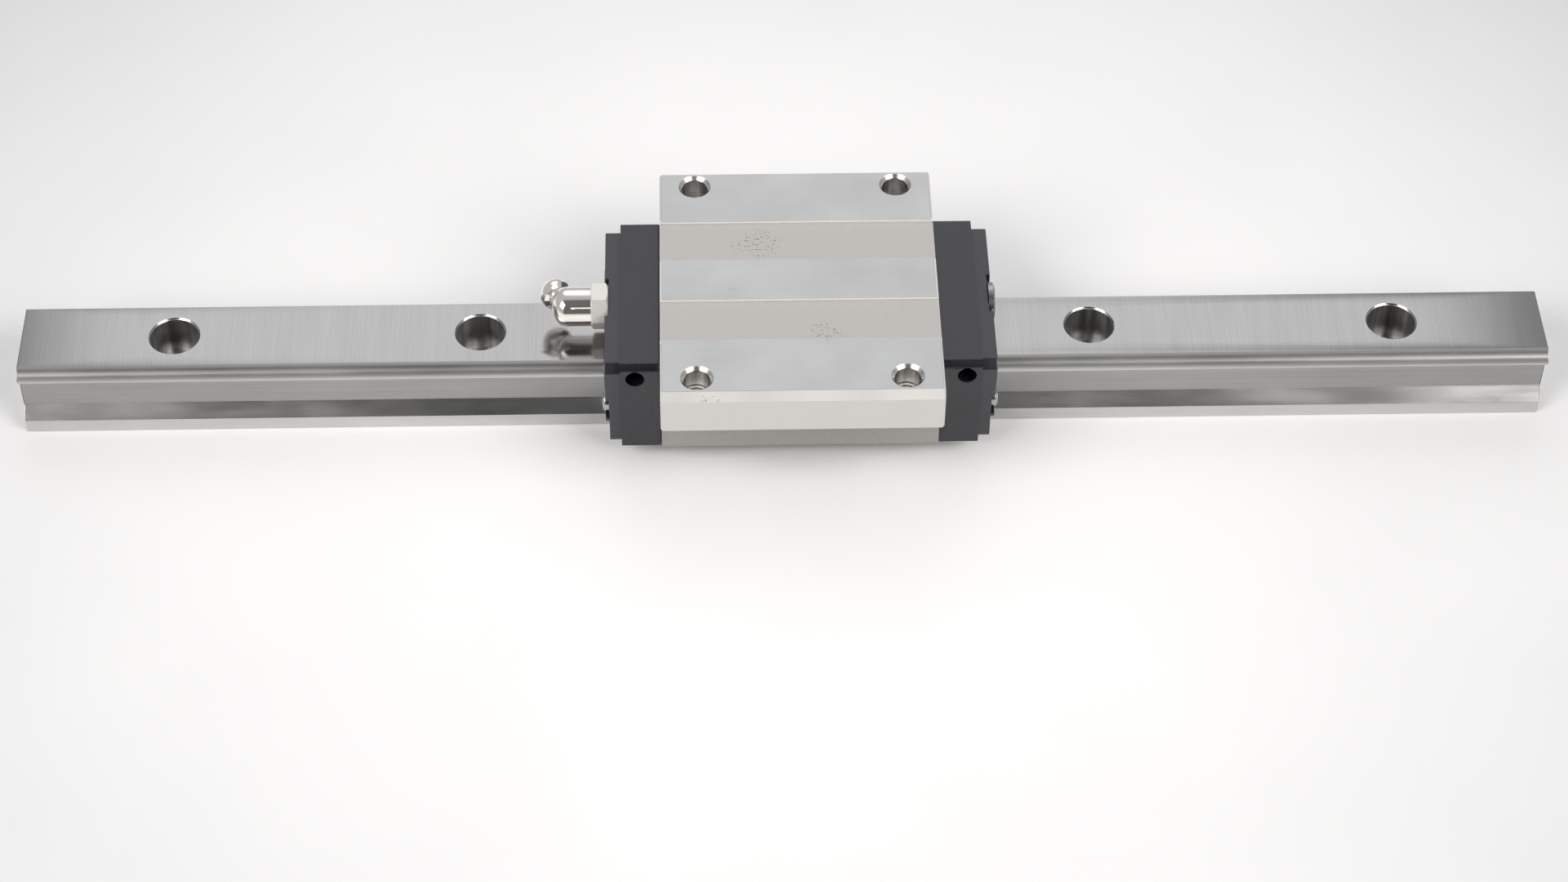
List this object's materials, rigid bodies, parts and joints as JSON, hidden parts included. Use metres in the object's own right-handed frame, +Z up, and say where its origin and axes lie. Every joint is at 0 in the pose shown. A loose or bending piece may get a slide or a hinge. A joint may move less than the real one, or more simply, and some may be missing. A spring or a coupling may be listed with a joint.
{
  "type": "linear guide carriage",
  "caption": "Flanged ball-type linear guide carriage with end caps, wiper seals and an elbow grease nipple, sliding on a short counterbored profile rail.",
  "frame": {"origin": "middle of the rail's underside", "axes": "+X along the rail, towards the end without the grease nipple; +Y across it, towards the back; +Z up, out of the carriage's top"},
  "size_m": [0.3, 0.063, 0.03],
  "materials": {
    "rail_steel": "ground",
    "block_steel": "fine ground",
    "cap_plastic": "fine moulded",
    "seal_plastic": "fine moulded",
    "seal_rubber": "matt",
    "screw_steel": "bright zinc",
    "retainer_plastic": "moulded",
    "tube_plastic": "extruded",
    "ball_steel": "polished",
    "nipple_nickel": "bright nickel",
    "spring_steel": "drawn"
  },
  "bodies": {
    "rail": {"rail": "rail_steel"},
    "carriage": {"block": "block_steel", "end_cap_left": "cap_plastic", "seal_plate_left": "seal_plastic", "seal_lip_left": "seal_rubber", "cap_screws_left": "screw_steel", "end_cap_right": "cap_plastic", "seal_plate_right": "seal_plastic", "seal_lip_right": "seal_rubber", "cap_screws_right": "screw_steel", "return_guide_left_upper_front": "retainer_plastic", "return_guide_left_upper_back": "retainer_plastic", "return_guide_left_lower_front": "retainer_plastic", "return_guide_left_lower_back": "retainer_plastic", "return_guide_right_upper_front": "retainer_plastic", "return_guide_right_upper_back": "retainer_plastic", "return_guide_right_lower_front": "retainer_plastic", "return_guide_right_lower_back": "retainer_plastic", "retainer_top": "retainer_plastic", "retainer_side_front": "retainer_plastic", "retainer_side_back": "retainer_plastic", "retainer_lower_front": "retainer_plastic", "retainer_lower_back": "retainer_plastic", "return_tube_upper_front": "tube_plastic", "return_tube_upper_back": "tube_plastic", "return_tube_lower_front": "tube_plastic", "return_tube_lower_back": "tube_plastic", "balls_upper_front": "ball_steel", "balls_upper_back": "ball_steel", "balls_lower_front": "ball_steel", "balls_lower_back": "ball_steel", "bottom_seal_front": "seal_rubber", "bottom_seal_back": "seal_rubber", "nipple_body": "nipple_nickel", "nipple_head": "nipple_nickel", "nipple_spring": "spring_steel", "port_plug": "screw_steel"},
    "check_ball": {"nipple_ball": "ball_steel"}
  },
  "joints": [
    {"name": "carriage_slide", "type": "slide", "parent": "rail", "child": "carriage", "axis": [1, 0, 0], "range_m": [-0.1142, 0.1092]},
    {"name": "nipple_check_slide", "type": "slide", "parent": "carriage", "child": "check_ball", "axis": [0.6428, -0.766, 0], "range_m": [0, 0.0008], "stiffness_N_per_m": 200, "springref_m": -0.0005, "deforming": ["nipple_spring"]}
  ]
}
